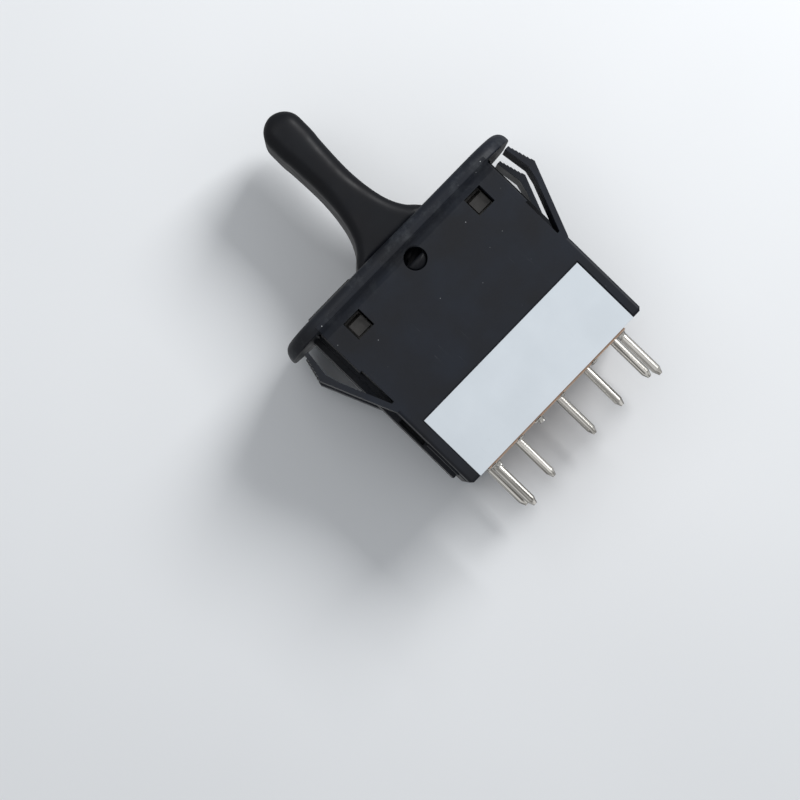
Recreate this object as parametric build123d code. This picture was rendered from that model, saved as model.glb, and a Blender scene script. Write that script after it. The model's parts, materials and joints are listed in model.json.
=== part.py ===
from build123d import *
from math import acos, cos, exp, radians, sin, sqrt
import os

# A panel-mounted lever switch. The origin is the centre of the bezel's underside, where the panel's
# face meets it. +Z points out of the panel along the lever and X runs along the bezel.

# Bezel
bezel_end_overhang = 5.7
bezel_side_overhang = 1.5
bezel_height = 2.6
bezel_corner = 8.5
bezel_round = 1.9
bezel_under_round = 0.3
bezel_root_round = 0.5

# Moulded body under the bezel
body_length = 40.3
body_depth = 21.0
body_height = 35.2
body_corner = 0.6
body_foot_chamfer = 0.5
wall = 1.9
bezel_skin = 1.6

# Longest edge or offset that counts as none when edges are picked
sliver = 0.001

# Snap arms, measured out from the end wall and down from the bezel's underside
arm_width = 5.5
arm_root_drop = 18.3
arm_knee_drop = 5.6
arm_knee_reach = 5.15
arm_knee_thickness = 1.4
arm_thickness = 1.05
arm_tip_drop = 0.8
arm_tip_reach = 3.85
arm_tip_thickness = 0.75
arm_taper_length = 2.4
arm_gap_drop = 16.6
arm_tooth_count = 7
arm_tooth_depth = 0.14
arm_pocket_depth = 0.45
arm_groove_depth = 0.85
arm_groove_top = 9.3
arm_pocket_clearance = 0.6

# Guide rib, latch tongue and notch on each end wall
rib_width = 6.0
rib_height = 1.05
rib_foot_chamfer = 0.9
rib_bottom_gap = 0.9
rib_slot_width = 3.6
rib_slot_gap = 0.2
rib_slot_length = 6.0
rib_slot_depth = 1.0
tongue_width = 3.6
tongue_height = 0.35
tongue_foot_gap = 2.5
tongue_length = 7.1
tongue_slit = 0.25
notch_height = 1.9
notch_depth = 1.6
notch_reach = 5.4

# Windows that the carrier's tabs catch in
window_size = 3.6
window_inset = 5.95
window_drop = 3.65
tab_size = 2.8
tab_catch = 0.6

# Lever pivot
pivot_drop = 2.8
pivot_bore = 4.0
pivot_clearance = 0.06
trunnion_recess = 0.45
trunnion_step = 2.6
trunnion_chamfer = 0.25
collar_diameter = 7.0
collar_clearance = 0.3
axle_diameter = 5.0
swing = 11.0

# Lever
lever_height = 31.4
lever_inset = 3.0
lever_taper = 1.6
lever_neck = 5.8
lever_flare = 4.3
lever_flare_base = 3.4
lever_flare_decay = 3.8
lever_flare_root = 3.0
lever_head = 7.1
lever_head_start = 15.0
lever_edge_round = 2.0
lever_tip_round = 4.6
lever_curve_points = 6
lever_lean = 1.0
drum_radius = 9.6
drum_gap = 0.35
drum_skin = 1.5
drum_inset = 0.25
drum_cover = 3.0
blade_thickness = 2.4
blade_width = 6.0
blade_head = 4.0
blade_head_clearance = 0.12

# Circuit board, closing the bottom of the body
board_end_gap = 2.15
board_side_gap = 0.3
board_thickness = 1.6
board_stand_out = 0.5
board_hole_clearance = 0.05

# Terminal pins, rear row and front row, and their solder
pin_diameter = 1.6
pin_reach = 9.6
pin_stub = 0.9
pin_neck = 1.0
pin_taper_length = 1.1
pin_tip_diameter = 0.7
pin_row_inset = 5.0
rear_pin_edge = 0.8
rear_pin_steps = (0, 2, 5, 7, 9)
front_pin_edge = 0.8
front_pin_shift = 0.4
solder_spread = 0.8
solder_height = 0.9
solder_rim = 0.25
solder_dish = 0.18
solder_clearance = 0.02

# Slider, its rails and the carrier frame
slider_depth = 10.0
slider_floor = 1.2
slider_height = 6.8
slider_lift = 3.2
rail_clearance = 0.15
rail_thickness = 1.6
rail_lip = 1.1
rail_lip_thickness = 0.8
end_wall_thickness = 2.1
carrier_end_gap = 0.38
foot_gap = 1.2
leg_width = 3.2
leg_thickness = 1.3
leg_gap = 0.1
leg_top_gap = 1.6
tab_lead = 0.5

# Springs and contacts
spring_wire = 0.4
spring_diameter = 3.2
spring_turns = 6
spring_least_length = 5.0
spring_end_gap = 0.12
spring_boss = 2.2
spring_boss_length = 1.0
wiper_width = 1.6
wiper_thickness = 0.25
wiper_spacing = 4.8
wiper_base = 4.0
wiper_reach = 4.6
wiper_gap = 0.12
wiper_curl = 0.75
pad_thickness = 0.1
pad_length = 6.2
pad_gap = 0.9
pad_width = 2.2

# Indicator lens with its light guide, the lamp under it, and the resistor
lens_gap = 1.14
lens_depth = 8.0
lens_seat = 0.8
lens_rise = 0.6
lens_round = 0.35
lens_clearance = 0.08
lens_end_margin = 6.55
guide_size = 2.0
guide_offset = 3.0
guide_clearance = 0.15
lamp_length = 2.0
lamp_depth = 1.25
lamp_height = 0.8
lamp_gap = 0.3
lamp_chamfer = 0.16
resistor_diameter = 1.8
resistor_length = 5.5
resistor_pitch = 10.16
resistor_lead = 0.6
resistor_lead_near = 4.3
resistor_inset = 1.2
resistor_round = 0.3
resistor_lift = 0.2

# Label in its shallow recess
label_margin = 2.05
label_height = 12.9
label_thickness = 0.15
label_recess = 0.28
label_gap = 0.25

# Sizes and places that follow from the ones above
bezel_length = body_length + 2 * bezel_end_overhang
bezel_depth = body_depth + 2 * bezel_side_overhang
end_face = body_length / 2
front_face = body_depth / 2
inner_length = body_length - 2 * wall
inner_depth = body_depth - 2 * wall
ceiling = bezel_height - bezel_skin
arm_near = front_face - arm_width
window_x = end_face - window_inset
tongue_top = body_height - tongue_foot_gap - tongue_length
rib_slot_top = tongue_top - rib_slot_gap - rib_slot_length

board_length = inner_length - 2 * board_end_gap
board_depth = inner_depth - 2 * board_side_gap
board_bottom = -(body_height + board_stand_out)
board_top = board_bottom + board_thickness
pin_end = board_bottom - pin_reach
pin_y = front_face - pin_row_inset
pin_grid = (board_length - 2 * rear_pin_edge) / rear_pin_steps[-1]
front_pin_x = board_length / 2 - front_pin_edge
resistor_y = resistor_inset - board_depth / 2

slider_bottom = board_top + slider_lift
slider_top = slider_bottom + slider_height
blade_end = slider_bottom + slider_floor + 2 * rail_clearance + blade_head / 2
blade_reach = -(blade_end + pivot_drop)
slider_travel = blade_reach * sin(radians(swing))
end_wall_inner = inner_length / 2 - carrier_end_gap - end_wall_thickness
slider_length = 2 * (end_wall_inner - slider_travel - spring_least_length)
rail_inner = slider_depth / 2 + rail_clearance
rail_outer = rail_inner + rail_thickness
rail_bottom = slider_bottom - rail_clearance - rail_lip_thickness
rail_top = slider_top + rail_clearance + rail_lip_thickness
foot_width = 2 * (pin_y - pin_neck / 2 - foot_gap)

lever_depth = body_depth - 2 * lever_inset
lever_head_z = lever_height - lever_head / 2
opening_half_length = sqrt((drum_radius + drum_gap) ** 2 - (bezel_height + pivot_drop) ** 2)
lens_near = opening_half_length + lens_gap
lens_far = bezel_length / 2 - lens_end_margin
lens_length = lens_far - lens_near
lens_centre = (lens_near + lens_far) / 2
label_length = body_length - 2 * label_margin
label_top = body_height - label_height

rear_pins = [(step * pin_grid - board_length / 2 + rear_pin_edge, pin_y) for step in rear_pin_steps]
front_pins = [(front_pin_shift - front_pin_x, -pin_y), (front_pin_x, -pin_y)]
pin_places = rear_pins + front_pins
resistor_leads = [-resistor_lead_near, -(resistor_lead_near + resistor_pitch)]


def block(x_range, y_range, z_range):
    """A box between two places along each axis."""
    low = [min(r) for r in (x_range, y_range, z_range)]
    size = [max(r) - min(r) for r in (x_range, y_range, z_range)]
    corner = (Align.MIN, Align.MIN, Align.MIN)
    return Pos(*low) * Box(*size, align=corner)


def slab(points, y_low, y_high):
    """An outline in X and Z, made solid between two depths."""
    outline = make_face(Plane.XZ * Polyline(*points, close=True))
    return Pos(0, y_high, 0) * extrude(outline, amount=y_high - y_low, dir=(0, -1, 0))


def rod_y(diameter, y_low, y_high, x=0.0, z=0.0):
    """A round rod along Y."""
    middle = (y_low + y_high) / 2
    return Pos(x, middle, z) * Rot(90, 0, 0) * Cylinder(diameter / 2, y_high - y_low)


def both_ends(shape):
    return shape + mirror(shape, about=Plane.YZ)


def both_faces(shape):
    return shape + mirror(shape, about=Plane.XZ)


def arm_points():
    """The right-hand snap arm in X and Z, with fine teeth from the knee to the tip."""
    knee = (end_face + arm_knee_reach, -arm_knee_drop)
    tip = (end_face + arm_tip_reach, -arm_tip_drop)
    root = (end_face, -arm_root_drop)
    slope = (knee[0] - root[0]) / (knee[1] - root[1])
    low_x = knee[0] - slope * arm_taper_length - arm_thickness
    gap_x = end_face + slope * (arm_root_drop - arm_gap_drop) - arm_thickness
    buried_x = end_face - arm_groove_depth - arm_pocket_depth
    points = [root, knee]
    for i in range(1, arm_tooth_count + 1):
        share = i / arm_tooth_count
        x = knee[0] + (tip[0] - knee[0]) * share
        z = knee[1] + (tip[1] - knee[1]) * share
        points.append((x, z))
        if i < arm_tooth_count:
            points.append((x - arm_tooth_depth, z))
    points.append((tip[0] - arm_tip_thickness, tip[1]))
    points.append((knee[0] - arm_knee_thickness, knee[1]))
    points.append((low_x, knee[1] - arm_taper_length))
    points.append((gap_x, -arm_gap_drop))
    points.append((buried_x, -arm_gap_drop))
    points.append((buried_x, root[1]))
    return points


def end_wall_cuts():
    """Pockets behind one end's two arms, with a deeper groove above each root."""
    inner_edge = arm_near - arm_pocket_clearance
    pocket = block((end_face - arm_pocket_depth, end_face), (inner_edge, front_face), (-arm_root_drop, 0))
    groove = block(
        (end_face - arm_groove_depth, end_face), (inner_edge, front_face), (-arm_root_drop, -arm_groove_top)
    )
    return both_faces(pocket + groove)


def end_rib():
    """The guide rib between one end's arms, with its slot, tongue and notch."""
    half = rib_width / 2
    foot = -(body_height - rib_bottom_gap)
    outer = end_face + rib_height
    rib_outline = [
        (end_face - wall / 2, 0),
        (outer, 0),
        (outer, foot + rib_foot_chamfer),
        (outer - rib_foot_chamfer, foot),
        (end_face - wall / 2, foot),
    ]
    rib = slab(rib_outline, -half, half)
    slot_z = -(rib_slot_top + rib_slot_length)
    slot = block((end_face - rib_slot_depth, outer), (-half, -half + rib_slot_width), (slot_z, -rib_slot_top))
    tongue_low = -half - tongue_slit - tongue_width
    tongue = block(
        (end_face - wall / 2, end_face + tongue_height),
        (tongue_low, -half - tongue_slit),
        (-(tongue_top + tongue_length), -tongue_top),
    )
    return rib - slot + both_faces(tongue) - mirror(slot, about=Plane.XZ)


def end_notch():
    half = rib_width / 2
    top = -(tongue_top + tongue_length)
    return block(
        (end_face - notch_depth, end_face + rib_height), (-notch_reach, half), (top - notch_height, top)
    )


def housing():
    """Bezel, body and the four snap arms, moulded in one."""
    bezel = extrude(RectangleRounded(bezel_length, bezel_depth, bezel_corner), bezel_height)
    bezel = fillet(bezel.edges().group_by(Axis.Z)[-1], bezel_round)
    bezel = fillet(bezel.edges().group_by(Axis.Z)[0], bezel_under_round)
    body = extrude(RectangleRounded(body_length, body_depth, body_corner), -body_height)
    body = chamfer(body.edges().group_by(Axis.Z)[0], body_foot_chamfer)
    shape = bezel + body
    seat = [e for e in shape.edges() if abs(e.center().Z) < sliver and e.bounding_box().size.Z < sliver]
    inside = [e for e in seat if abs(e.center().X) < end_face + sliver]
    root = [e for e in inside if abs(e.center().Y) < front_face + sliver]
    shape = fillet(root, bezel_root_round)

    shape += both_ends(end_rib())
    shape -= both_ends(end_notch())
    shape -= both_ends(end_wall_cuts())
    arm = both_faces(slab(arm_points(), -front_face, -arm_near))
    shape += both_ends(arm)

    cavity = Pos(0, 0, (ceiling - body_height) / 2) * Box(inner_length, inner_depth, body_height + ceiling)
    shape -= cavity
    opening_half = lever_depth / 2 + drum_gap
    shape -= rod_y(2 * (drum_radius + drum_gap), -opening_half, opening_half, z=-pivot_drop)
    shape -= rod_y(pivot_bore, -front_face, front_face, z=-pivot_drop)
    window = Box(window_size, body_depth, window_size)
    shape -= both_ends(Pos(window_x, 0, -window_drop) * window)

    pocket_length = lens_length + 2 * lens_clearance
    pocket_depth = lens_depth + 2 * lens_clearance
    shape -= Pos(-lens_centre, 0, bezel_height) * Box(pocket_length, pocket_depth, 2 * lens_seat)
    guide_hole = guide_size + 2 * guide_clearance
    shape -= Pos(-lens_centre, guide_offset, ceiling) * Box(guide_hole, guide_hole, 2 * bezel_height)

    recess_half = label_length / 2 + label_gap
    shape -= block(
        (-recess_half, recess_half),
        (-front_face, -front_face + label_recess),
        (-body_height, -(label_top - label_gap)),
    )
    return shape


def smooth(t):
    t = min(max(t, 0.0), 1.0)
    return t * t * (3 - 2 * t)


def half_width(z):
    """Half the paddle's width at a height: a flared foot, a neck and a fuller head."""
    flare = lever_flare * exp((lever_flare_base - z) / lever_flare_decay)
    fullness = smooth((z - lever_head_start) / (lever_head_z - lever_head_start))
    return lever_neck / 2 + flare + (lever_head - lever_neck) / 2 * fullness


def paddle():
    """The finger lever: its front outline crossed with its side outline, and the long edges rounded."""
    step = (lever_head_z - lever_flare_root) / lever_curve_points
    heights = [lever_flare_root + step * i for i in range(lever_curve_points + 1)]
    foot_slope = -lever_flare / lever_flare_decay * exp((lever_flare_base - heights[0]) / lever_flare_decay)
    right = Spline(*[(half_width(z), z) for z in heights], tangents=[(foot_slope, 1), (0, 1)])
    left = mirror(right, about=Plane.YZ)
    cap = ThreePointArc(right @ 1, (0, lever_height), left @ 1)
    outline = make_face(Plane.XZ * (right + cap + left + Line(left @ 0, right @ 0)))
    front = extrude(outline, amount=lever_depth, both=True)

    foot = lever_depth / 2
    top = foot - lever_taper / 2
    top_z = lever_head_z + lever_tip_round
    corners = [(-foot, lever_flare_root), (-top, top_z), (top, top_z), (foot, lever_flare_root)]
    outline = make_face(Plane.YZ * Polyline(*corners, close=True))
    outline = fillet(outline.vertices().sort_by(Axis.Z)[-2:], lever_tip_round)
    side = extrude(outline, amount=2 * lever_head_z, both=True)

    shape = front & side
    long_edges = shape.edges().filter_by(lambda e: e.bounding_box().size.Z > sliver)
    return fillet(long_edges, lever_edge_round)


def lever():
    """Paddle, covering drum, trunnions and the blade that drives the slider, moulded in one."""
    half = lever_depth / 2 - drum_inset
    drum = rod_y(2 * drum_radius, -half, half)
    drum = fillet(drum.edges().filter_by(GeomType.CIRCLE), lever_edge_round)
    hollow = rod_y(2 * (drum_radius - drum_skin), -half + drum_skin, half - drum_skin)
    covered = acos((ceiling + pivot_drop) / (drum_radius + drum_gap)) + radians(swing + drum_cover)
    skirt_z = drum_radius * cos(covered)
    below = Pos(0, 0, skirt_z - drum_radius) * Box(2 * drum_radius, lever_depth, 2 * drum_radius)
    shape = drum - hollow - below
    for side in (-1, 1):
        face = side * half
        wall_end = side * (inner_depth / 2 - collar_clearance)
        inner = side * (half - drum_skin)
        shape += rod_y(collar_diameter, min(inner, wall_end), max(inner, wall_end))
        end = side * (front_face - trunnion_recess)
        pin = rod_y(pivot_bore - 2 * pivot_clearance, min(face, end), max(face, end))
        rim = pin.edges().filter_by(GeomType.CIRCLE).sort_by(Axis.Y)
        pin = chamfer(rim[0] if side < 0 else rim[-1], trunnion_chamfer)
        step = end - side * trunnion_step
        shape += pin
        shape -= block((-pivot_bore / 2, pivot_bore / 2), (step, end), (0, pivot_bore / 2))
    shape += rod_y(axle_diameter, -half, half)
    shape += block(
        (-blade_thickness / 2, blade_thickness / 2),
        (-blade_width / 2, blade_width / 2),
        (-blade_reach, lever_flare_root + pivot_drop + drum_skin),
    )
    shape += rod_y(blade_head, -blade_width / 2, blade_width / 2, z=-blade_reach)
    shape += Rot(0, lever_lean, 0) * Pos(0, 0, pivot_drop) * paddle()
    return Pos(0, 0, -pivot_drop) * shape


def slider():
    """The block that the lever's blade pushes along the rails."""
    z_middle = (slider_bottom + slider_top) / 2
    shape = Pos(0, 0, z_middle) * Box(slider_length, slider_depth, slider_height)
    shape = chamfer(shape.edges().filter_by(Axis.Z), rail_lip_thickness / 2)
    slot = blade_head + 2 * blade_head_clearance
    slot_floor = blade_end - blade_head / 2 - 2 * rail_clearance
    shape -= block(
        (-slot / 2, slot / 2),
        (-blade_width / 2 - 2 * rail_clearance, blade_width / 2 + 2 * rail_clearance),
        (slot_floor, slider_top),
    )
    boss = Rot(0, 90, 0) * Cylinder(spring_boss / 2, slider_length + 2 * spring_boss_length)
    gap = block((-slot / 2, slot / 2), (-slot, slot), (slider_bottom, slider_top))
    return shape + (Pos(0, 0, z_middle) * boss - gap)


def carrier():
    """Frame inside the body: two rails for the slider, spring walls and four snap legs."""
    lip_inner = rail_inner - rail_lip
    lip = rail_lip_thickness
    points = [
        (lip_inner, rail_bottom),
        (rail_outer, rail_bottom),
        (rail_outer, rail_top),
        (lip_inner, rail_top),
        (lip_inner, rail_top - lip),
        (rail_inner, rail_top - lip),
        (rail_inner, rail_bottom + lip),
        (lip_inner, rail_bottom + lip),
    ]
    profile = make_face(Plane.YZ * Polyline(*points, close=True))
    rail = Pos(-end_wall_inner, 0, 0) * extrude(profile, amount=2 * end_wall_inner, dir=(1, 0, 0))
    shape = both_faces(rail)

    outer = end_wall_inner + end_wall_thickness
    end = block((end_wall_inner, outer), (-rail_outer, rail_outer), (rail_bottom, rail_top))
    end += block((end_wall_inner, outer), (-foot_width / 2, foot_width / 2), (board_top, rail_bottom))
    z_middle = (slider_bottom + slider_top) / 2
    boss_place = Pos(end_wall_inner - spring_boss_length / 2, 0, z_middle)
    end += boss_place * Rot(0, 90, 0) * Cylinder(spring_boss / 2, spring_boss_length)

    leg_out = inner_depth / 2 - leg_gap
    leg_x = (window_x - leg_width / 2, window_x + leg_width / 2)
    leg = block(leg_x, (leg_out - leg_thickness, leg_out), (rail_bottom, -leg_top_gap))
    leg += block(leg_x, (rail_outer, leg_out), (rail_bottom, rail_top))
    tab_x = (window_x - tab_size / 2, window_x + tab_size / 2)
    tab_z = (-window_drop - tab_size / 2, -window_drop + tab_size / 2)
    tab = block(tab_x, (leg_out, inner_depth / 2 + tab_catch), tab_z)
    tab = chamfer(tab.edges().filter_by(Axis.X).sort_by(Axis.Y)[-2:].sort_by(Axis.Z)[-1], tab_lead)
    shape += both_ends(end + both_faces(leg + tab))
    return shape


def return_spring():
    """The right-hand compression spring, between the slider and the carrier's end wall."""
    start = slider_length / 2 + spring_end_gap + spring_wire / 2
    end = end_wall_inner - spring_end_gap - spring_wire / 2
    coil = Helix(pitch=(end - start) / spring_turns, height=end - start, radius=spring_diameter / 2)
    section = Plane(coil @ 0, z_dir=coil % 0) * Circle(spring_wire / 2)
    z_middle = (slider_bottom + slider_top) / 2
    return Pos(start, 0, z_middle) * Rot(0, 90, 0) * sweep(section, path=coil)


def wiper(side):
    """A sprung contact under the slider, pressing on the board's pads."""
    top = slider_bottom
    low = board_top + pad_thickness + wiper_gap
    thick = wiper_thickness
    points = [
        (-wiper_base, top),
        (0, top),
        (wiper_reach, low + thick),
        (wiper_reach + wiper_curl, low + wiper_curl),
        (wiper_reach + wiper_curl + thick, low + wiper_curl - thick),
        (wiper_reach, low),
        (-thick / 2, top - thick),
        (-wiper_base, top - thick),
    ]
    middle = side * wiper_spacing / 2
    return slab(points, middle - wiper_width / 2, middle + wiper_width / 2)


def board():
    """Board with a hole for each pin and each of the resistor's leads."""
    middle = (board_top + board_bottom) / 2
    shape = Pos(0, 0, middle) * Box(board_length, board_depth, board_thickness)
    for x, y in pin_places:
        radius = pin_neck / 2 + board_hole_clearance
        shape -= Pos(x, y, middle) * Cylinder(radius, board_thickness)
    for x in resistor_leads:
        radius = resistor_lead / 2 + board_hole_clearance
        shape -= Pos(x, resistor_y, middle) * Cylinder(radius, board_thickness)
    return shape


def contact_pads():
    pads = []
    for side in (-1, 1):
        for i in (-1, 0, 1):
            place = Pos(i * (pad_length + pad_gap), side * wiper_spacing / 2, board_top + pad_thickness / 2)
            pads.append(place * Box(pad_length, pad_width, pad_thickness))
    return Compound(children=pads)


def pin(x, y):
    """A round pin, necked where it passes through the board and tapered at its tip."""
    radius = pin_diameter / 2
    shoulder = board_bottom - solder_height
    points = [
        (0, pin_end),
        (pin_tip_diameter / 2, pin_end),
        (radius, pin_end + pin_taper_length),
        (radius, shoulder),
        (pin_neck / 2, shoulder),
        (pin_neck / 2, board_top + pin_stub),
        (0, board_top + pin_stub),
    ]
    return Pos(x, y, 0) * revolve(make_face(Plane.XZ * Polyline(*points, close=True)), Axis.Z)


def solder(x, y, diameter):
    """One dished cone of solder on the underside of the board, round a pin or a lead."""
    bore = diameter / 2 + solder_clearance
    foot = bore + solder_spread
    rim = bore + solder_rim
    low = board_bottom - solder_height + solder_clearance
    flank = SagittaArc((foot, board_bottom), (rim, low), -solder_dish)
    edge = Polyline((rim, low), (bore, low), (bore, board_bottom), (foot, board_bottom))
    face = make_face(Plane.XZ * (flank + edge))
    return Pos(x, y, 0) * revolve(face, Axis.Z)


def solder_joints():
    cones = [solder(x, y, pin_neck) for x, y in pin_places]
    cones += [solder(x, resistor_y, resistor_lead) for x in resistor_leads]
    return Compound(children=cones)


def indicator_lens():
    """Lens plate in the bezel, with the light guide that reaches down to the lamp."""
    bottom = bezel_height - lens_seat
    top = bezel_height + lens_rise
    plate = Pos(-lens_centre, 0, (bottom + top) / 2) * Box(lens_length, lens_depth, top - bottom)
    plate = fillet(plate.edges().group_by(Axis.Z)[-1], lens_round)
    half = guide_size / 2
    guide_end = board_top + lamp_height + lamp_gap
    guide_x = (-lens_centre - half, -lens_centre + half)
    return plate + block(guide_x, (guide_offset - half, guide_offset + half), (guide_end, bottom))


def indicator_lamp():
    place = Pos(-lens_centre, guide_offset, board_top + lamp_height / 2)
    shape = place * Box(lamp_length, lamp_depth, lamp_height)
    return chamfer(shape.edges().group_by(Axis.Z)[-1], lamp_chamfer)


def resistor():
    """Axial resistor lying on the board, its bent leads passing through it."""
    lift = board_top + resistor_lift + resistor_diameter / 2
    middle = -(resistor_lead_near + resistor_pitch / 2)
    body = Pos(middle, resistor_y, lift) * Rot(0, 90, 0) * Cylinder(resistor_diameter / 2, resistor_length)
    body = fillet(body.edges().filter_by(GeomType.CIRCLE), resistor_round)
    bend = resistor_lead
    near, far = resistor_leads
    end = board_bottom - solder_height
    route = FilletPolyline((near, end), (near, lift), (far, lift), (far, end), radius=bend)
    path = Pos(0, resistor_y, 0) * (Plane.XZ * route)
    section = Plane(path @ 0, z_dir=path % 0) * Circle(resistor_lead / 2)
    return body + sweep(section, path=path)


def label():
    outer = -front_face + label_recess
    half = label_length / 2
    return block((-half, half), (outer - label_thickness, outer), (-body_height, -label_top))


parts = {
    "housing": housing(),
    "lever": lever(),
    "slider": slider(),
    "carrier": carrier(),
    "return_spring_right": return_spring(),
    "return_spring_left": mirror(return_spring(), about=Plane.YZ),
    "wiper_front": wiper(-1),
    "wiper_rear": wiper(1),
    "circuit_board": board(),
    "contact_pads": contact_pads(),
    "solder_joints": solder_joints(),
    "indicator_lens": indicator_lens(),
    "indicator_lamp": indicator_lamp(),
    "resistor": resistor(),
    "label": label(),
}
for number, (x, y) in enumerate(pin_places, 1):
    parts[f"pin_{number}"] = pin(x, y)

os.makedirs("parts", exist_ok=True)
for name, shape in parts.items():
    export_step(shape, f"parts/{name}.step")
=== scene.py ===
import json
from math import radians
import bpy
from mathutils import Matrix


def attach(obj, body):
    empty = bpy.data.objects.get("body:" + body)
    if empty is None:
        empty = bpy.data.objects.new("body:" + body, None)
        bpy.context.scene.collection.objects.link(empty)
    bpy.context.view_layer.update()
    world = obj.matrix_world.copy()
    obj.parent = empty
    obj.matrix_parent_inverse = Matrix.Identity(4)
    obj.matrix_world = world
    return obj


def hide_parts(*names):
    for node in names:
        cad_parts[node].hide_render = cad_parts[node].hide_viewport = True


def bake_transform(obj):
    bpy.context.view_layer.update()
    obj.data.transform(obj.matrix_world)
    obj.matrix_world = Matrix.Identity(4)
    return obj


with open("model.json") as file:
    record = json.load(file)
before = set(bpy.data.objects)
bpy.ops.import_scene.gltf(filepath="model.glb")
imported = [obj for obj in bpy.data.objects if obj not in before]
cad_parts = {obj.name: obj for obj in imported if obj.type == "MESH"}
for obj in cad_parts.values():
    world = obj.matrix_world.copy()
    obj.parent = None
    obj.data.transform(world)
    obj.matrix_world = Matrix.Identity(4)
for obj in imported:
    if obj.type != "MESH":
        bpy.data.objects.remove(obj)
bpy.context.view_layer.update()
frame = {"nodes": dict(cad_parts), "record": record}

nodes = frame["nodes"]
bpy.ops.object.select_all(action="DESELECT")
print("frame loaded:", len(nodes), "nodes")

mm = 0.001
close = 0.01 * mm  # two places nearer than this count as one
weld = 0.001 * mm  # points nearer than this are merged
noiseLow, noiseHigh = 0.3, 0.7  # nearly all values of a noise lie between these
materials = {}


def linear(hexColour):
    channels = [int(hexColour[i:i + 2], 16) / 255 for i in (1, 3, 5)]
    return [c / 12.92 if c <= 0.04045 else ((c + 0.055) / 1.055) ** 2.4 for c in channels] + [1.0]


def addNode(tree, kind, inputs, **settings):
    node = tree.nodes.new(kind)
    for name, value in settings.items():
        setattr(node, name, value)
    for name, value in inputs.items():
        if isinstance(value, bpy.types.NodeSocket):
            tree.links.new(value, node.inputs[name])
        else:
            node.inputs[name].default_value = value
    return node


def startMaterial(name):
    material = bpy.data.materials.new(name)
    material.use_nodes = True
    tree = material.node_tree
    tree.nodes.clear()
    place = addNode(tree, "ShaderNodeTexCoord", {}).outputs["Object"]
    return material, tree, place


# Moulded plastic: two close tones in soft clouds, a grain that breaks up highlights, pale scratches from
# handling, specks of dust, and grey smears near the bezel where a look has "rub".
# Real moulding grain is under 0.1 mm, too fine to show from here, so each look draws it coarser
wear = {
    "hair": 0.5, "hairLie": (8, 37, 12), "hairStretch": 0.04, "hairLevel": 0.70, "hairWidth": 0.008,
    "patch": 11.0, "patchLow": 0.5, "patchHigh": 0.62,
    "speckFull": 0.03, "speckEnd": 0.07, "speckRare": 0.6, "speckColour": "#b4b7ba",
    "dustLow": -12.0, "dustHigh": -3.0, "dustBelow": 0.25,
    "smearLow": 0.5, "smearHigh": 0.72,
}


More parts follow.
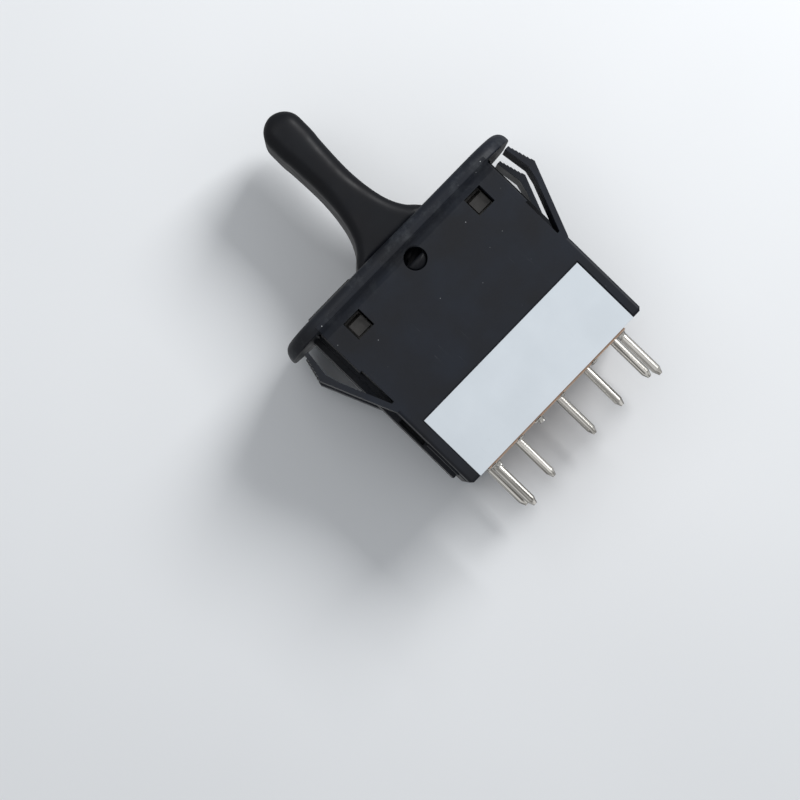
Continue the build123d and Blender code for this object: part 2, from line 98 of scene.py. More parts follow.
def mouldedPlastic(name, look):
    material, tree, place = startMaterial(name)
    clouds = addNode(tree, "ShaderNodeTexNoise", {
        "Vector": place, "Scale": 1 / (look["cloud"] * mm), "Detail": 4.0,
    })
    tones = addNode(tree, "ShaderNodeValToRGB", {"Fac": clouds.outputs["Fac"]})
    tones.color_ramp.elements[0].position = 0.35
    tones.color_ramp.elements[0].color = linear(look["dark"])
    tones.color_ramp.elements[1].position = 0.65
    tones.color_ramp.elements[1].color = linear(look["light"])
    colour = tones.outputs["Color"]

    rubbed = addNode(tree, "ShaderNodeTexNoise", {
        "Vector": place, "Scale": 2.5 / (look["cloud"] * mm), "Detail": 5.0,
    })
    rough = addNode(tree, "ShaderNodeMapRange", {
        "Value": rubbed.outputs["Fac"], "From Min": noiseLow, "From Max": noiseHigh,
        "To Min": look["smooth"], "To Max": look["rough"],
    })

    # Scratches: thin level lines of a noise stretched along one direction, in patches
    lie = addNode(tree, "ShaderNodeMapping", {
        "Vector": place, "Rotation": [radians(a) for a in wear["hairLie"]],
        "Scale": (1.0, 1.0, wear["hairStretch"]),
    })
    hair = addNode(tree, "ShaderNodeTexNoise", {
        "Vector": lie.outputs["Vector"], "Scale": 1 / (wear["hair"] * mm), "Detail": 1.0,
    })
    line = addNode(tree, "ShaderNodeMath", {
        0: hair.outputs["Fac"], 1: wear["hairLevel"], 2: wear["hairWidth"],
    }, operation="COMPARE")
    patch = addNode(tree, "ShaderNodeTexNoise", {
        "Vector": place, "Scale": 1 / (wear["patch"] * mm), "Detail": 2.0,
    })
    patchy = addNode(tree, "ShaderNodeMapRange", {
        "Value": patch.outputs["Fac"], "From Min": wear["patchLow"], "From Max": wear["patchHigh"],
        "To Min": 0.0, "To Max": look["scratch"],
    })
    scratch = addNode(tree, "ShaderNodeMath", {
        0: line.outputs["Value"], 1: patchy.outputs["Result"],
    }, operation="MULTIPLY")
    colour = addNode(tree, "ShaderNodeMix", {
        0: scratch.outputs["Value"], 6: colour, 7: linear(look["scuff"]),
    }, data_type="RGBA").outputs[2]

    # Dust: a speck in the middle of some cells, fainter lower down
    cells = addNode(tree, "ShaderNodeTexVoronoi", {"Vector": place, "Scale": 1 / (look["dustGap"] * mm)})
    speck = addNode(tree, "ShaderNodeMapRange", {
        "Value": cells.outputs["Distance"], "From Min": wear["speckFull"], "From Max": wear["speckEnd"],
        "To Min": 1.0, "To Max": 0.0,
    })
    pick = addNode(tree, "ShaderNodeSeparateColor", {"Color": cells.outputs["Color"]})
    rare = addNode(tree, "ShaderNodeMapRange", {
        "Value": pick.outputs["Red"], "From Min": wear["speckRare"], "From Max": 1.0,
        "To Min": 0.0, "To Max": look["dust"],
    })
    up = addNode(tree, "ShaderNodeSeparateXYZ", {"Vector": place}).outputs["Z"]
    lower = addNode(tree, "ShaderNodeMapRange", {
        "Value": up, "From Min": wear["dustLow"] * mm, "From Max": wear["dustHigh"] * mm,
        "To Min": wear["dustBelow"], "To Max": 1.0,
    })
    some = addNode(tree, "ShaderNodeMath", {
        0: speck.outputs["Result"], 1: rare.outputs["Result"],
    }, operation="MULTIPLY")
    dust = addNode(tree, "ShaderNodeMath", {
        0: some.outputs["Value"], 1: lower.outputs["Result"],
    }, operation="MULTIPLY")
    colour = addNode(tree, "ShaderNodeMix", {
        0: dust.outputs["Value"], 6: colour, 7: linear(wear["speckColour"]),
    }, data_type="RGBA").outputs[2]

    if "rub" in look:
        band = addNode(tree, "ShaderNodeMapRange", {
            "Value": up, "From Min": look["rubLow"] * mm, "From Max": look["rubHigh"] * mm,
            "To Min": 0.0, "To Max": 1.0,
        }, interpolation_type="SMOOTHSTEP")
        smear = addNode(tree, "ShaderNodeTexNoise", {
            "Vector": place, "Scale": 1 / (look["rubSize"] * mm), "Detail": 6.0, "Roughness": 0.7,
        })
        worn = addNode(tree, "ShaderNodeMapRange", {
            "Value": smear.outputs["Fac"], "From Min": wear["smearLow"], "From Max": wear["smearHigh"],
            "To Min": 0.0, "To Max": look["rub"],
        })
        rubbing = addNode(tree, "ShaderNodeMath", {
            0: band.outputs["Result"], 1: worn.outputs["Result"],
        }, operation="MULTIPLY")
        colour = addNode(tree, "ShaderNodeMix", {
            0: rubbing.outputs["Value"], 6: colour, 7: linear(look["scuff"]),
        }, data_type="RGBA").outputs[2]

    grain = addNode(tree, "ShaderNodeTexNoise", {
        "Vector": place, "Scale": 1 / (look["grain"] * mm), "Detail": 2.0,
    })
    height = addNode(tree, "ShaderNodeMath", {
        0: grain.outputs["Fac"], 1: scratch.outputs["Value"],
    }, operation="SUBTRACT")
    rounded = addNode(tree, "ShaderNodeBevel", {"Radius": look["edge"] * mm}, samples=4)
    bump = addNode(tree, "ShaderNodeBump", {
        "Height": height.outputs["Value"], "Distance": look["relief"] * mm, "Normal": rounded.outputs["Normal"],
    })
    shader = addNode(tree, "ShaderNodeBsdfPrincipled", {
        "Base Color": colour, "Roughness": rough.outputs["Result"], "Normal": bump.outputs["Normal"],
        "IOR": look["ior"], "Specular IOR Level": look["gloss"],
    })
    addNode(tree, "ShaderNodeOutputMaterial", {"Surface": shader.outputs["BSDF"]})
    return material


# Black ABS of the body: cool grey sheen on a near-black ground, grain drawn at 0.3 mm
bodyPlastic = {
    "dark": "#080b12", "light": "#0f151f", "cloud": 9.0, "smooth": 0.42, "rough": 0.58, "scuff": "#6d7277",
    "rub": 0.17, "rubLow": -3.5, "rubHigh": 1.5, "rubSize": 3.2, "scratch": 0.07, "dust": 0.9,
    "dustGap": 1.7, "grain": 0.3, "relief": 0.01, "edge": 0.06, "ior": 1.5, "gloss": 0.22,
}
materials["body_plastic"] = mouldedPlastic("black ABS", bodyPlastic)

# Black nylon of the lever: darker than the body, with a soft, even shine
leverPlastic = {
    "dark": "#030409", "light": "#070a10", "cloud": 7.0, "smooth": 0.4, "rough": 0.54, "scuff": "#4e5256",
    "scratch": 0.12, "dust": 0.4, "dustGap": 2.1, "grain": 0.45, "relief": 0.004, "edge": 0.1,
    "ior": 1.5, "gloss": 0.16,
}
materials["lever_plastic"] = mouldedPlastic("black nylon", leverPlastic)

# Dark grey nylon frame: a little warmer and lighter in the windows than the black round it
framePlastic = {
    "dark": "#171615", "light": "#22201f", "cloud": 1.6, "smooth": 0.4, "rough": 0.6, "scuff": "#7d8083",
    "scratch": 0.2, "dust": 0.4, "dustGap": 1.2, "grain": 0.25, "relief": 0.008, "edge": 0.06,
    "ior": 1.53, "gloss": 0.35,
}
materials["carrier_plastic"] = mouldedPlastic("grey nylon", framePlastic)

# Natural acetal slider: waxy off-white
sliderPlastic = {
    "dark": "#cdc9bb", "light": "#dedacd", "cloud": 3.0, "smooth": 0.32, "rough": 0.45, "scuff": "#a9a698",
    "scratch": 0.3, "dust": 0.0, "dustGap": 1.0, "grain": 0.3, "relief": 0.004, "edge": 0.06,
    "ior": 1.48, "gloss": 0.5,
}
materials["slider_plastic"] = mouldedPlastic("natural acetal", sliderPlastic)

# Smoked polycarbonate lens: glossy and almost black
lensPlastic = {
    "dark": "#0a0c0e", "light": "#101316", "cloud": 5.0, "smooth": 0.1, "rough": 0.24, "scuff": "#43474b",
    "scratch": 0.4, "dust": 0.7, "dustGap": 1.3, "grain": 0.8, "relief": 0.001, "edge": 0.06,
    "ior": 1.58, "gloss": 0.5,
}
materials["lens_plastic"] = mouldedPlastic("smoked polycarbonate", lensPlastic)

# Clear epoxy over the lamp's pale cup, drawn as one glossy cream surface
lampResin = {
    "dark": "#d5cb95", "light": "#ece5c0", "cloud": 0.8, "smooth": 0.1, "rough": 0.18, "scuff": "#b5ad80",
    "scratch": 0.0, "dust": 0.0, "dustGap": 1.0, "grain": 0.5, "relief": 0.001, "edge": 0.05,
    "ior": 1.55, "gloss": 0.5,
}
materials["lamp_resin"] = mouldedPlastic("clear epoxy", lampResin)

# Blank coated label: pale blue-white, a little uneven, small scuffs
labelStock = {
    "dark": "#cbd2d8", "light": "#d0d7dd", "cloud": 8.0, "smooth": 0.45, "rough": 0.6, "scuff": "#9aa3aa",
    "scratch": 0.15, "dust": 0.0, "dustGap": 1.8, "grain": 0.2, "relief": 0.003, "edge": 0.05,
    "ior": 1.45, "gloss": 0.3,
}
materials["label_paper"] = mouldedPlastic("coated label stock", labelStock)


# Soft metal: bright, with tone changes that follow the way the piece was drawn or rolled. On the tinned pins
# the dark and bright lines are also painted reflection. Real drawing lines are a few hundredths of a millimetre
# apart, so "line" draws them coarser
def drawnMetal(name, look):
    material, tree, place = startMaterial(name)
    along = addNode(tree, "ShaderNodeMapping", {"Vector": place, "Scale": look["drawn"]})
    lines = addNode(tree, "ShaderNodeTexNoise", {
        "Vector": along.outputs["Vector"], "Scale": 1 / (look["line"] * mm), "Detail": 3.0,
    })
    # On the tinned pins these tones are partly painted reflection, dark and bright bands along the length
    tones = addNode(tree, "ShaderNodeValToRGB", {"Fac": lines.outputs["Fac"]})
    tones.color_ramp.elements[0].position = 0.3
    tones.color_ramp.elements[0].color = linear(look["dark"])
    tones.color_ramp.elements[1].position = 0.6
    tones.color_ramp.elements[1].color = linear(look["light"])
    rough = addNode(tree, "ShaderNodeMapRange", {
        "Value": lines.outputs["Fac"], "From Min": noiseLow, "From Max": noiseHigh,
        "To Min": look["smooth"], "To Max": look["rough"],
    })
    bump = addNode(tree, "ShaderNodeBump", {"Height": lines.outputs["Fac"], "Distance": look["relief"] * mm})
    shader = addNode(tree, "ShaderNodeBsdfPrincipled", {
        "Base Color": tones.outputs["Color"], "Roughness": rough.outputs["Result"],
        "Normal": bump.outputs["Normal"], "Metallic": 1.0,
    })
    addNode(tree, "ShaderNodeOutputMaterial", {"Surface": shader.outputs["BSDF"]})
    return material


# Tinned brass terminals: bright, with dark lines down their length that are drawing marks and painted
# reflection both: they stand in for the dark and bright bands the surroundings mirror along each pin
tinnedBrass = {
    "dark": "#54524e", "light": "#d6d4cf", "line": 0.4, "drawn": (1.0, 1.0, 0.02), "smooth": 0.2,
    "rough": 0.34, "relief": 0.002,
}
materials["tinned_metal"] = drawnMetal("tinned brass", tinnedBrass)

# Solder: more even in tone than the pins, faintly pocked
solderTin = {
    "dark": "#7d7c79", "light": "#bdbcb8", "line": 0.4, "drawn": (1.0, 1.0, 1.0), "smooth": 0.14,
    "rough": 0.34, "relief": 0.012,
}
materials["solder"] = drawnMetal("solder", solderTin)

# Copper contact areas, wiped bright along the stroke
wipedCopper = {
    "dark": "#94502f", "light": "#dc9168", "line": 0.25, "drawn": (0.05, 1.0, 1.0), "smooth": 0.18,
    "rough": 0.36, "relief": 0.002,
}
materials["copper"] = drawnMetal("wiped copper", wipedCopper)

# Phosphor bronze strip: warm gold, rolled along its length
rolledBronze = {
    "dark": "#8b6330", "light": "#cfa05a", "line": 0.2, "drawn": (0.05, 1.0, 1.0), "smooth": 0.18,
    "rough": 0.34, "relief": 0.002,
}
materials["bronze"] = drawnMetal("phosphor bronze", rolledBronze)

# Spring steel wire: cool grey, evenly mottled
springWire = {
    "dark": "#6e6f73", "light": "#babcc1", "line": 0.3, "drawn": (1.0, 1.0, 1.0), "smooth": 0.18,
    "rough": 0.32, "relief": 0.002,
}
materials["spring_steel"] = drawnMetal("spring steel", springWire)

# Phenolic paper laminate: tan, with short paper fibres and darker pressed layers at its edge.
# Real layers are about 0.2 mm and the fibres much finer, so both are drawn coarser
boardLaminate = {
    "dark": "#dcb698", "light": "#f2d8c4", "fibre": 0.5, "layer": 0.4, "layerDark": "#cf9f7c",
    "layerShare": 0.55, "smooth": 0.38, "rough": 0.6, "relief": 0.01,
}


def pressedLaminate(name, look):
    material, tree, place = startMaterial(name)
    lay = addNode(tree, "ShaderNodeMapping", {"Vector": place, "Scale": (0.35, 1.0, 1.0)})
    fibres = addNode(tree, "ShaderNodeTexNoise", {
        "Vector": lay.outputs["Vector"], "Scale": 1 / (look["fibre"] * mm), "Detail": 4.0,
    })
    tones = addNode(tree, "ShaderNodeValToRGB", {"Fac": fibres.outputs["Fac"]})
    tones.color_ramp.elements[0].position = 0.35
    tones.color_ramp.elements[0].color = linear(look["dark"])
    tones.color_ramp.elements[1].position = 0.65
    tones.color_ramp.elements[1].color = linear(look["light"])
    sheets = addNode(tree, "ShaderNodeTexWave", {
        "Vector": place, "Scale": 0.314 / (look["layer"] * mm), "Distortion": 2.0, "Detail Scale": 0.5,
    }, bands_direction="Z")  # the wave repeats every 0.314 divided by its scale
    normal = addNode(tree, "ShaderNodeNewGeometry", {}).outputs["True Normal"]
    upright = addNode(tree, "ShaderNodeSeparateXYZ", {"Vector": normal}).outputs["Z"]
    edge = addNode(tree, "ShaderNodeMath", {0: upright, 1: 0.0, 2: 0.3}, operation="COMPARE")
    layers = addNode(tree, "ShaderNodeMath", {
        0: sheets.outputs["Fac"], 1: edge.outputs["Value"],
    }, operation="MULTIPLY")
    share = addNode(tree, "ShaderNodeMath", {
        0: layers.outputs["Value"], 1: look["layerShare"],
    }, operation="MULTIPLY")
    colour = addNode(tree, "ShaderNodeMix", {
        0: share.outputs["Value"], 6: tones.outputs["Color"], 7: linear(look["layerDark"]),
    }, data_type="RGBA").outputs[2]
    rough = addNode(tree, "ShaderNodeMapRange", {
        "Value": fibres.outputs["Fac"], "From Min": noiseLow, "From Max": noiseHigh,
        "To Min": look["smooth"], "To Max": look["rough"],
    })
    bump = addNode(tree, "ShaderNodeBump", {"Height": fibres.outputs["Fac"], "Distance": look["relief"] * mm})
    shader = addNode(tree, "ShaderNodeBsdfPrincipled", {
        "Base Color": colour, "Roughness": rough.outputs["Result"], "Normal": bump.outputs["Normal"],
    })
    addNode(tree, "ShaderNodeOutputMaterial", {"Surface": shader.outputs["BSDF"]})
    return material


materials["board_laminate"] = pressedLaminate("phenolic laminate", boardLaminate)

# Dipped lacquer: glossy tan with four painted bands, tinned wire past the body's ends
resistorLacquer = {
    "body": "#b9945f", "bands": ["#6a3a1a", "#1b1b1b", "#a23320", "#b08d3a"], "first": -7.9, "pitch": 1.0,
    "width": 0.42, "smooth": 0.2, "rough": 0.34, "middle": -9.38, "half": 2.75, "wire": "#c9c7c1",
    "ripple": 0.7, "relief": 0.01,
}


def dippedLacquer(name, look):
    material, tree, place = startMaterial(name)
    along = addNode(tree, "ShaderNodeSeparateXYZ", {"Vector": place}).outputs["X"]
    ripple = addNode(tree, "ShaderNodeTexNoise", {
        "Vector": place, "Scale": 1 / (look["ripple"] * mm), "Detail": 2.0,
    })
    colour = linear(look["body"])
    for index, band in enumerate(look["bands"]):
        middle = (look["first"] - index * look["pitch"]) * mm
        inside = addNode(tree, "ShaderNodeMath", {
            0: along, 1: middle, 2: look["width"] / 2 * mm,
        }, operation="COMPARE")
        colour = addNode(tree, "ShaderNodeMix", {
            0: inside.outputs["Value"], 6: colour, 7: linear(band),
        }, data_type="RGBA").outputs[2]
    lacquered = addNode(tree, "ShaderNodeMath", {
        0: along, 1: look["middle"] * mm, 2: look["half"] * mm,
    }, operation="COMPARE")
    colour = addNode(tree, "ShaderNodeMix", {
        0: lacquered.outputs["Value"], 6: linear(look["wire"]), 7: colour,
    }, data_type="RGBA").outputs[2]
    bare = addNode(tree, "ShaderNodeMath", {0: 1.0, 1: lacquered.outputs["Value"]}, operation="SUBTRACT")
    rough = addNode(tree, "ShaderNodeMapRange", {
        "Value": ripple.outputs["Fac"], "From Min": noiseLow, "From Max": noiseHigh,
        "To Min": look["smooth"], "To Max": look["rough"],
    })
    bump = addNode(tree, "ShaderNodeBump", {"Height": ripple.outputs["Fac"], "Distance": look["relief"] * mm})
    shader = addNode(tree, "ShaderNodeBsdfPrincipled", {
        "Base Color": colour, "Roughness": rough.outputs["Result"], "Metallic": bare.outputs["Value"],
        "Normal": bump.outputs["Normal"],
    })
    addNode(tree, "ShaderNodeOutputMaterial", {"Surface": shader.outputs["BSDF"]})
    return material


materials["resistor_lacquer"] = dippedLacquer("dipped lacquer", resistorLacquer)
print("materials made:", len(materials))

# Slope from the bezel's two wide sides down to the body's walls, open round the pivot's bore.
# Each step is a height and how far in from the bezel's side the slope has come there
slope = {
    "length": 39.2, "wall": 10.45, "side": 11.998, "top": 0.9, "bore": 2.12, "pivot": -2.8, "drill": 6.0,
    "steps": [(0.22, 0.0), (-0.12, 0.3), (-0.45, 0.95), (-0.95, 1.3), (-1.8, 1.51)],
}


def bezelSlope(name, side):
    bpy.ops.object.select_all(action="DESELECT")
    deep = slope["side"] - slope["wall"]
    brow = slope["steps"][0][0]
    middle = [0, side * (slope["wall"] + deep / 2), (slope["top"] + brow) / 2]
    bpy.ops.mesh.primitive_cube_add(size=1, location=[v * mm for v in middle])
    piece = bpy.context.object
    piece.name = name
    piece.scale = (slope["length"] * mm, deep * mm, (slope["top"] - brow) * mm)
    bpy.ops.object.transform_apply(location=True, rotation=True, scale=True)
    # The underside is pulled down step by step, and its outer edge drawn in each time
    for (height, reach), (lower, further) in zip(slope["steps"], slope["steps"][1:]):
        for face in piece.data.polygons:
            face.select = face.normal.z < -0.9 and abs(face.center.z - height * mm) < close
        bpy.ops.object.mode_set(mode="EDIT")
        bpy.ops.mesh.select_mode(type="FACE")
        bpy.ops.mesh.extrude_region_move(TRANSFORM_OT_translate={"value": (0, 0, (lower - height) * mm)})
        bpy.ops.mesh.select_mode(type="VERT")
        bpy.ops.mesh.select_all(action="DESELECT")
        bpy.ops.object.mode_set(mode="OBJECT")
        for vertex in piece.data.vertices:
            outer = side * vertex.co.y > (slope["side"] - reach) * mm - close
            vertex.select = outer and abs(vertex.co.z - lower * mm) < close
        bpy.ops.object.mode_set(mode="EDIT")
        bpy.ops.transform.translate(value=(0, -side * (further - reach) * mm, 0))
        bpy.ops.mesh.select_all(action="DESELECT")
        bpy.ops.object.mode_set(mode="OBJECT")
    bpy.ops.object.mode_set(mode="EDIT")
    bpy.ops.mesh.select_all(action="SELECT")
    bpy.ops.mesh.normals_make_consistent(inside=False)
    bpy.ops.object.mode_set(mode="OBJECT")

    bpy.ops.mesh.primitive_cylinder_add(
        vertices=64, radius=slope["bore"] * mm, depth=slope["drill"] * mm,
        location=(0, middle[1] * mm, slope["pivot"] * mm), rotation=(radians(90), 0, 0),
    )
    drill = bpy.context.object
    cut = piece.modifiers.new("bore", "BOOLEAN")
    cut.object = drill
    cut.solver = "EXACT"
    bpy.context.view_layer.objects.active = piece
    bpy.ops.object.modifier_apply(modifier=cut.name)
    bpy.data.objects.remove(drill, do_unlink=True)
    bpy.ops.object.select_all(action="DESELECT")
    piece.select_set(True)
    bpy.ops.object.shade_smooth_by_angle(angle=radians(40))
    piece.data.materials.clear()
    piece.data.materials.append(materials["body_plastic"])
    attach(piece, "switch_body")


bezelSlope("bezelSlopeFront", -1)
bezelSlope("bezelSlopeRear", 1)
print("bezel slopes modelled")

# Thin webs that close the guide rib's slot and the notch under it at each end, with a pocket in both faces
webs = {
    "slotWeb": {
        "x": (19.2, 21.2), "y": (-2.9, 2.9), "z": (-25.5, -19.3), "rim": 0.34, "pocket": 2.4, "round": 0.05,
    },
    "notchWeb": {
        "x": (18.6, 20.15), "y": (-2.6, 2.6), "z": (-34.65, -32.6), "rim": 0.25, "pocket": 2.0, "round": 0.05,
    },
}


def endWeb(name, look, end):
    bpy.ops.object.select_all(action="DESELECT")
    ranges = [look["x"], look["y"], look["z"]]
    middle = [sum(r) / 2 for r in ranges]
    middle[0] *= end
    bpy.ops.mesh.primitive_cube_add(size=1, location=[v * mm for v in middle])
    piece = bpy.context.object
    piece.name = name
    piece.scale = [(r[1] - r[0]) * mm for r in ranges]
    bpy.ops.object.transform_apply(location=True, rotation=True, scale=True)
    for facing in (-1, 1):
        bpy.ops.object.mode_set(mode="EDIT")
        bpy.ops.mesh.select_mode(type="FACE")
        bpy.ops.mesh.select_all(action="DESELECT")
        bpy.ops.object.mode_set(mode="OBJECT")
        for face in piece.data.polygons:
            face.select = face.normal.y * facing > 0.9
        bpy.ops.object.mode_set(mode="EDIT")
        bpy.ops.mesh.inset(thickness=look["rim"] * mm, depth=0)
        bpy.ops.mesh.extrude_region_move(
            TRANSFORM_OT_translate={"value": (0, -facing * look["pocket"] * mm, 0)}
        )
        bpy.ops.object.mode_set(mode="OBJECT")
    bpy.ops.object.mode_set(mode="EDIT")
    bpy.ops.mesh.select_all(action="SELECT")
    bpy.ops.mesh.normals_make_consistent(inside=False)
    bpy.ops.object.mode_set(mode="OBJECT")
    rounding = piece.modifiers.new("edges", "BEVEL")
    rounding.width = look["round"] * mm
    rounding.segments = 2
    bpy.ops.object.modifier_apply(modifier=rounding.name)
    piece.data.materials.append(materials["body_plastic"])
    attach(piece, "switch_body")


for webName, look in webs.items():
    endWeb(webName + "Left", look, -1)
    endWeb(webName + "Right", look, 1)
print("end webs modelled")

# Solder that has run along the board's front edge, flat against its underside
beads = {
    "at": (-15.2, -8.9, -4.7, 1.1, 8.6), "depth": -8.05, "height": -35.68,
    "long": 0.85, "wide": 0.34, "proud": 0.36, "flat": 0.04, "uneven": 0.03, "stretch": 0.18,
}

bpy.ops.object.select_all(action="DESELECT")
bpy.ops.mesh.primitive_uv_sphere_add(
    segments=24, ring_count=12, radius=1, location=(0, 0, 0), rotation=(0, radians(90), 0)
)
bead = bpy.context.object
bead.scale = (beads["proud"] * mm, beads["wide"] * mm, beads["long"] * mm)
bpy.ops.object.transform_apply(location=True, rotation=True, scale=True)
bpy.ops.object.mode_set(mode="EDIT")
bpy.ops.mesh.select_all(action="SELECT")
# Open fault: this cut's default threshold, 0.1 mm, is coarse for so small a piece. It leaves open and
# doubled faces at the flat side, which differ from run to run
bpy.ops.mesh.bisect(plane_co=(0, 0, beads["flat"] * mm), plane_no=(0, 0, 1), use_fill=True, clear_outer=True)
bpy.ops.mesh.select_all(action="SELECT")
bpy.ops.transform.vertex_random(offset=beads["uneven"] * mm, seed=7)
bpy.ops.mesh.normals_make_consistent(inside=False)
bpy.ops.object.mode_set(mode="OBJECT")
bpy.ops.object.shade_smooth_by_angle(angle=radians(50))
for index, x in enumerate(beads["at"]):
    run = bead.copy()
    run.data = bead.data.copy()
    run.name = "edgeSolder" + str(index + 1)
    bpy.context.collection.objects.link(run)
    stretch = 1.0 + beads["stretch"] * (index % 3 - 1)  # short, middling and long in turn
    for vertex in run.data.vertices:
        vertex.co.x = vertex.co.x * stretch + x * mm
        vertex.co.y += beads["depth"] * mm
        vertex.co.z += beads["height"] * mm
    run.data.materials.append(materials["solder"])
    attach(run, "switch_body")
bpy.data.objects.remove(bead, do_unlink=True)
print("edge solder modelled")

# Lever: the CAD solid's handle is flat on its narrow faces, while the moulded one is crowned there
handle = {
    "cut": 0.0, "overlap": 0.3, "voxel": 0.28, "even": 0.5, "evenTimes": 2,
    "crown": 0.85, "start": 8.0, "full": 17.0, "halfDepth": 8.0, "slice": 0.5,
}


def leverPart(name, above):
    bpy.ops.object.select_all(action="DESELECT")
    part = nodes["lever"].copy()
    part.data = nodes["lever"].data.copy()
    part.name = name
    bpy.context.collection.objects.link(part)
    part.select_set(True)
    bpy.context.view_layer.objects.active = part
    height = handle["cut"] if above else handle["cut"] + handle["overlap"]
    bpy.ops.object.mode_set(mode="EDIT")
    bpy.ops.mesh.select_all(action="SELECT")
    bpy.ops.mesh.remove_doubles(threshold=weld)
    bpy.ops.mesh.bisect(
        plane_co=(0, 0, height * mm), plane_no=(0, 0, 1), use_fill=True,
        clear_inner=above, clear_outer=not above,
    )
    bpy.ops.object.mode_set(mode="OBJECT")
    return part


lower = leverPart("leverLower", False)
upper = leverPart("leverHandle", True)
remesh = upper.modifiers.new("even faces", "REMESH")
remesh.mode = "VOXEL"
remesh.voxel_size = handle["voxel"] * mm
bpy.ops.object.modifier_apply(modifier=remesh.name)
smooth = upper.modifiers.new("even out", "SMOOTH")
smooth.factor = handle["even"]
smooth.iterations = handle["evenTimes"]
bpy.ops.object.modifier_apply(modifier=smooth.name)

spans = {}  # least and greatest x in each slice of height
for vertex in upper.data.vertices:
    level = int(vertex.co.z / (handle["slice"] * mm))
    low, high = spans.get(level, (1.0, -1.0))
    spans[level] = (min(low, vertex.co.x), max(high, vertex.co.x))
# Each point moves in towards the middle depth, most at the handle's left and right edges
for vertex in upper.data.vertices:
    level = vertex.co.z / (handle["slice"] * mm) - 0.5
    first = max(int(level), 0)
    below = spans[first]
    over = spans.get(first + 1, below)
    part = min(max(level - first, 0.0), 1.0)
    low, high = (a + (b - a) * part for a, b in zip(below, over))
    across = 2 * (vertex.co.x - (low + high) / 2) / max(high - low, 0.1 * mm)
    rise = min(max((vertex.co.z / mm - handle["start"]) / (handle["full"] - handle["start"]), 0.0), 1.0)
    rise = rise * rise * (3 - 2 * rise)
    narrow = handle["crown"] * mm * rise * min(across * across, 1.0)
    vertex.co.y -= narrow * vertex.co.y / (handle["halfDepth"] * mm)
bpy.ops.object.select_all(action="DESELECT")
lower.select_set(True)
upper.select_set(True)
bpy.context.view_layer.objects.active = upper
bpy.ops.object.join()
bpy.ops.object.shade_smooth_by_angle(angle=radians(35))
upper.data.materials.clear()
upper.data.materials.append(materials["lever_plastic"])
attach(upper, "lever_arm")
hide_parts("lever")
print("lever handle crowned:", len(upper.data.polygons), "faces")


def centringSpring(side):
    bpy.ops.object.select_all(action="DESELECT")
    node = nodes["return_spring_" + side]
    piece = bpy.data.objects.new(side + "CentringSpring", node.data.copy())
    bpy.context.collection.objects.link(piece)
    piece.select_set(True)
    bpy.context.view_layer.objects.active = piece
    bpy.ops.object.mode_set(mode="EDIT")
    bpy.ops.mesh.select_all(action="SELECT")
    bpy.ops.mesh.remove_doubles(threshold=weld)
    bpy.ops.object.mode_set(mode="OBJECT")
    bpy.ops.object.shade_smooth_by_angle(angle=radians(40))
    piece.data.materials.clear()
    piece.data.materials.append(materials["spring_steel"])
    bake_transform(piece)
    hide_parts("return_spring_" + side)


centringSpring("left")
centringSpring("right")
print("centring springs set between wall and slider")

slots = {entry["node"]: entry["material_slot"] for entry in frame["record"]["subparts"]}
for nodeName, node in nodes.items():
    node.data.materials.clear()
    node.data.materials.append(materials[slots[nodeName]])
print("materials given to", len(nodes), "nodes")

# Pale floor behind the switch's rear face, upright because the object stands in its own frame.
# It shows from the front only, and mirrored rays meet an even sheen in place of the shadow on it
floor = {
    "depth": 12.15, "size": 2400.0, "dark": "#e4e6e8", "light": "#eceef0", "cloud": 70.0,
    "rough": 0.6, "gloss": 0.1, "sheen": 0.5,
}

material, tree, place = startMaterial("pale floor")
clouds = addNode(tree, "ShaderNodeTexNoise", {
    "Vector": place, "Scale": 1 / (floor["cloud"] * mm), "Detail": 2.0,
})
tones = addNode(tree, "ShaderNodeMix", {
    0: clouds.outputs["Fac"], 6: linear(floor["dark"]), 7: linear(floor["light"]),
}, data_type="RGBA")
shader = addNode(tree, "ShaderNodeBsdfPrincipled", {
    "Base Color": tones.outputs[2], "Roughness": floor["rough"], "Specular IOR Level": floor["gloss"],
})
clear = addNode(tree, "ShaderNodeBsdfTransparent", {})
behind = addNode(tree, "ShaderNodeNewGeometry", {}).outputs["Backfacing"]
mirrored = addNode(tree, "ShaderNodeLightPath", {}).outputs["Is Glossy Ray"]
sheen = addNode(tree, "ShaderNodeEmission", {"Color": linear(floor["light"]), "Strength": floor["sheen"]})
front = addNode(tree, "ShaderNodeMixShader", {
    0: mirrored, 1: shader.outputs["BSDF"], 2: sheen.outputs["Emission"],
})
sides = addNode(tree, "ShaderNodeMixShader", {
    0: behind, 1: front.outputs["Shader"], 2: clear.outputs["BSDF"],
})
addNode(tree, "ShaderNodeOutputMaterial", {"Surface": sides.outputs["Shader"]})

bpy.ops.mesh.primitive_plane_add(
    size=floor["size"] * mm, location=(0, floor["depth"] * mm, 0), rotation=(radians(90), 0, 0)
)
floorPlane = bpy.context.object
floorPlane.name = "floor"
floorPlane.data.materials.append(material)
floorPlane.visible_shadow = False
floorPlane.visible_diffuse = False

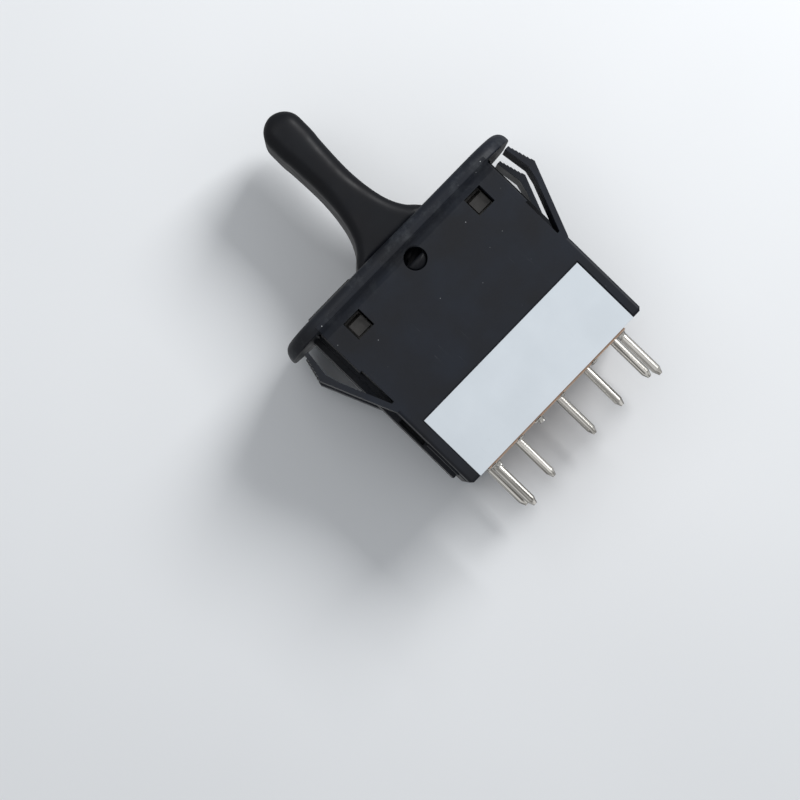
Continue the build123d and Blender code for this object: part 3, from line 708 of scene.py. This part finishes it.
# Camera set by the corners of the label, the windows, the arms and the pins
view = {
    "place": (-32.46, -316.96, -16.51), "turn": (89.837, 45.86, -2.741), "lens": 84.52, "sensor": 36.0,
    "near": 10.0,
}
bpy.ops.object.camera_add(
    location=[v * mm for v in view["place"]], rotation=[radians(v) for v in view["turn"]]
)
camera = bpy.context.object
camera.data.lens = view["lens"]
camera.data.sensor_width = view["sensor"]
camera.data.clip_start = view["near"] * mm
bpy.context.scene.camera = camera

# Soft main light off the bezel's right end, and a weaker, larger one from the camera's side
lamps = {
    "mainLight": {"place": (420, -330, 60), "size": 220, "power": 2.55},
    "fillLight": {"place": (-60, -520, 260), "size": 500, "power": 0.9},
}
for name, lamp in lamps.items():
    bpy.ops.object.light_add(type="AREA", location=[v * mm for v in lamp["place"]])
    light = bpy.context.object
    light.name = name
    light.data.size = lamp["size"] * mm
    light.data.energy = lamp["power"]
    light.rotation_euler = light.location.to_track_quat("Z", "Y").to_euler()  # aimed at the origin

# Even grey room that lights the object, and a lighter backdrop for camera, mirrored and clear rays
room = {"colour": "#dfe3e8", "strength": 0.4, "backdropColour": "#ffffff", "backdrop": 0.8}
world = bpy.data.worlds.new("room")
bpy.context.scene.world = world
world.use_nodes = True
tree = world.node_tree
tree.nodes.clear()
path = addNode(tree, "ShaderNodeLightPath", {})
direct = addNode(tree, "ShaderNodeMath", {
    0: path.outputs["Is Camera Ray"], 1: path.outputs["Is Glossy Ray"],
}, operation="MAXIMUM")
seen = addNode(tree, "ShaderNodeMath", {
    0: direct.outputs["Value"], 1: path.outputs["Is Transmission Ray"],
}, operation="MAXIMUM")
grey = addNode(tree, "ShaderNodeBackground", {"Color": linear(room["colour"]), "Strength": room["strength"]})
white = addNode(tree, "ShaderNodeBackground", {
    "Color": linear(room["backdropColour"]), "Strength": room["backdrop"],
})
mixed = addNode(tree, "ShaderNodeMixShader", {
    0: seen.outputs["Value"], 1: grey.outputs["Background"], 2: white.outputs["Background"],
})
addNode(tree, "ShaderNodeOutputWorld", {"Surface": mixed.outputs["Shader"]})
bpy.context.scene.view_settings.view_transform = "Standard"
print("floor, camera and lamps set")
